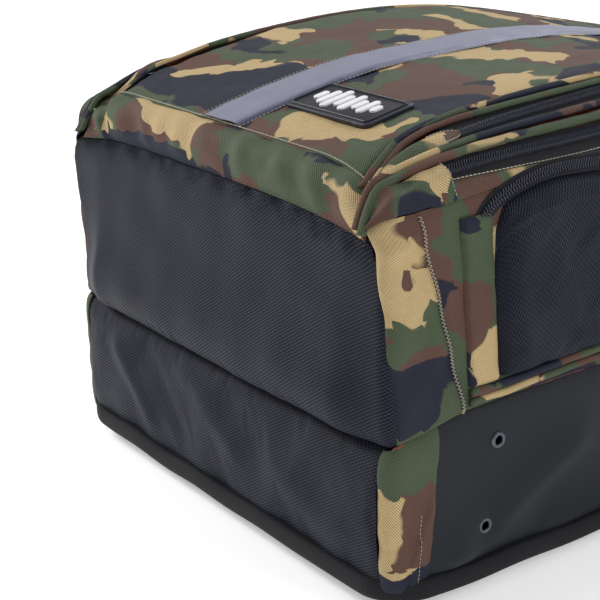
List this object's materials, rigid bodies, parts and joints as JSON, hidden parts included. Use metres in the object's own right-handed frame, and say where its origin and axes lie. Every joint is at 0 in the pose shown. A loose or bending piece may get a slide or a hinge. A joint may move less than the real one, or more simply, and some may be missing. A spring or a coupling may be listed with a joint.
{
  "type": "padded gear backpack",
  "caption": "Padded camouflage gear backpack with a zipped lid, front pocket, side pockets, laptop compartment, shoulder straps and carry handle.",
  "frame": {"origin": "bottom centre of the bag's box, on the surface the bag lies on", "axes": "+X across the bag to its right side as it lies, +Y from the bottom end to the top end with the handle, +Z from the back to the front face"},
  "size_m": [0.3554, 0.5055, 0.264],
  "materials": {
    "camo_twill": "woodland pattern polyester twill, satin",
    "ballistic_nylon": "coarse ribbed weave, soft sheen",
    "smooth_fabric": "plain smooth stretch-faced fabric, matt",
    "zip_tape": "ribbed zip tape with a nylon coil",
    "binding": "twill edge binding",
    "orange_lining": "plain lining over foam",
    "reflective_tape": "grey satin reflective tape",
    "badge_rubber": "moulded soft rubber",
    "zip_metal": "dark plated",
    "eyelet_metal": "pressed, gunmetal",
    "hard_plastic": "moulded acetal",
    "back_mesh": "spacer mesh over foam"
  },
  "bodies": {
    "bag": {"back_panel": "back_mesh", "back_stiffener": "hard_plastic", "edge_binding": "binding", "end_band": "camo_twill", "laptop_divider": "orange_lining", "left_corner_strip": "camo_twill", "left_eyelet_1": "eyelet_metal", "left_eyelet_2": "eyelet_metal", "left_lower_webbing": "binding", "left_main_side": "camo_twill", "left_pocket_strip": "camo_twill", "left_rear_side": "smooth_fabric", "left_zip_band": "camo_twill", "lower_end_panel": "ballistic_nylon", "lumbar_pad": "back_mesh", "main_top_wall": "camo_twill", "main_zip_lower_tape": "zip_tape", "right_corner_strip": "camo_twill", "right_eyelet_1": "eyelet_metal", "right_eyelet_2": "eyelet_metal", "right_lower_webbing": "binding", "right_main_side": "camo_twill", "right_pocket_strip": "camo_twill", "right_rear_side": "smooth_fabric", "right_zip_band": "camo_twill", "strap_yoke": "ballistic_nylon", "top_zip_band": "camo_twill", "upper_back_pad": "back_mesh", "upper_end_panel": "ballistic_nylon"},
    "main_lid": {"main_zip_upper_tape": "zip_tape", "lid_gusset": "camo_twill", "lid_front": "camo_twill", "lid_divider": "orange_lining", "badge": "badge_rubber"},
    "front_flap": {"front_zip_upper_tape": "zip_tape", "flap_edge": "camo_twill", "front_panel": "camo_twill", "reflective_stripe": "reflective_tape"},
    "laptop_flap": {"laptop_flap": "smooth_fabric"},
    "carry_handle": {"carry_handle": "ballistic_nylon"},
    "front_zip_slider": {"front_zip_slider": "zip_metal"},
    "front_zip_pull": {"front_zip_pull": "hard_plastic"},
    "laptop_slider": {"laptop_slider": "zip_metal"},
    "laptop_pull": {"laptop_pull": "hard_plastic"},
    "left_pocket": {"left_pocket_face": "ballistic_nylon"},
    "left_strap": {"left_strap_pad": "ballistic_nylon", "left_ladder_lock": "hard_plastic"},
    "left_chest_clip": {"left_chest_clip": "hard_plastic"},
    "left_main_zip_slider": {"left_main_zip_slider": "zip_metal"},
    "left_main_zip_pull": {"left_main_zip_pull": "hard_plastic"},
    "left_pocket_slider": {"left_pocket_slider": "zip_metal"},
    "left_pocket_pull": {"left_pocket_pull": "hard_plastic"},
    "right_pocket": {"right_pocket_face": "ballistic_nylon"},
    "right_strap": {"right_strap_pad": "ballistic_nylon", "right_ladder_lock": "hard_plastic"},
    "right_chest_clip": {"right_chest_clip": "hard_plastic"},
    "right_main_zip_slider": {"right_main_zip_slider": "zip_metal"},
    "right_main_zip_pull": {"right_main_zip_pull": "hard_plastic"},
    "right_pocket_slider": {"right_pocket_slider": "zip_metal"},
    "right_pocket_pull": {"right_pocket_pull": "hard_plastic"}
  },
  "joints": [
    {"name": "lid_hinge", "type": "hinge", "parent": "bag", "child": "main_lid", "pos_m": [0, -0.2103, 0.24371], "axis": [1, 0, 0], "range_deg": [0, 105]},
    {"name": "front_flap_hinge", "type": "hinge", "parent": "main_lid", "child": "front_flap", "pos_m": [0, -0.1608, 0.25409], "axis": [1, 0, 0], "range_deg": [0, 100]},
    {"name": "laptop_flap_hinge", "type": "hinge", "parent": "bag", "child": "laptop_flap", "pos_m": [0, 0.2423, 0.0225], "axis": [-1, 0, 0], "range_deg": [0, 90]},
    {"name": "handle_hinge", "type": "hinge", "parent": "bag", "child": "carry_handle", "pos_m": [0, 0.2452, 0.1628], "axis": [1, 0, 0], "range_deg": [0, 100]},
    {"name": "left_pocket_hinge", "type": "hinge", "parent": "bag", "child": "left_pocket", "pos_m": [-0.1672, -0.0313, 0.1272], "axis": [0, -1, 0], "range_deg": [0, 70]},
    {"name": "left_strap_hinge", "type": "hinge", "parent": "bag", "child": "left_strap", "pos_m": [0, 0.2087, 0.0065], "axis": [1, 0, 0], "range_deg": [0, 30]},
    {"name": "left_chest_clip_slide", "type": "slide", "parent": "left_strap", "child": "left_chest_clip", "axis": [0, -1, 0], "range_m": [0, 0.02]},
    {"name": "right_pocket_hinge", "type": "hinge", "parent": "bag", "child": "right_pocket", "pos_m": [0.1672, -0.0313, 0.1272], "axis": [0, 1, 0], "range_deg": [0, 70]},
    {"name": "right_strap_hinge", "type": "hinge", "parent": "bag", "child": "right_strap", "pos_m": [0, 0.2087, 0.0065], "axis": [1, 0, 0], "range_deg": [0, 30]},
    {"name": "right_chest_clip_slide", "type": "slide", "parent": "right_strap", "child": "right_chest_clip", "axis": [0, -1, 0], "range_m": [0, 0.02]},
    {"name": "left_main_zip_slide", "type": "slide", "parent": "bag", "child": "left_main_zip_slider", "axis": [-1, 0, 0], "range_m": [0, 0.045]},
    {"name": "left_main_pull_hinge", "type": "hinge", "parent": "left_main_zip_slider", "child": "left_main_zip_pull", "pos_m": [-0.05, 0.2377, 0.1877], "axis": [1, 0, 0], "range_deg": [0, 120]},
    {"name": "right_main_zip_slide", "type": "slide", "parent": "bag", "child": "right_main_zip_slider", "axis": [1, 0, 0], "range_m": [0, 0.05]},
    {"name": "right_main_pull_hinge", "type": "hinge", "parent": "right_main_zip_slider", "child": "right_main_zip_pull", "pos_m": [-0.026, 0.2377, 0.1877], "axis": [1, 0, 0], "range_deg": [0, 120]},
    {"name": "front_zip_slide", "type": "slide", "parent": "main_lid", "child": "front_zip_slider", "axis": [-1, 0, 0], "range_m": [0, 0.055]},
    {"name": "front_pull_hinge", "type": "hinge", "parent": "front_zip_slider", "child": "front_zip_pull", "pos_m": [0.05, 0.2243, 0.2064], "axis": [1, 0, 0], "range_deg": [0, 120]},
    {"name": "laptop_zip_slide", "type": "slide", "parent": "bag", "child": "laptop_slider", "axis": [-1, 0, 0], "range_m": [0, 0.19]},
    {"name": "laptop_pull_hinge", "type": "hinge", "parent": "laptop_slider", "child": "laptop_pull", "pos_m": [0.104, 0.2481, 0.105], "axis": [1, 0, 0], "range_deg": [0, 120]},
    {"name": "left_pocket_zip_slide", "type": "slide", "parent": "bag", "child": "left_pocket_slider", "axis": [0, -0.9976, 0.0698], "range_m": [0, 0.06]},
    {"name": "left_pocket_pull_hinge", "type": "hinge", "parent": "left_pocket_slider", "child": "left_pocket_pull", "pos_m": [-0.1708, 0.1317, 0.20874], "axis": [0, 0, 1], "range_deg": [0, 140]},
    {"name": "right_pocket_zip_slide", "type": "slide", "parent": "bag", "child": "right_pocket_slider", "axis": [0, -0.9976, 0.0698], "range_m": [0, 0.06]},
    {"name": "right_pocket_pull_hinge", "type": "hinge", "parent": "right_pocket_slider", "child": "right_pocket_pull", "pos_m": [0.1708, 0.1317, 0.20874], "axis": [0, 0, -1], "range_deg": [0, 140]}
  ]
}
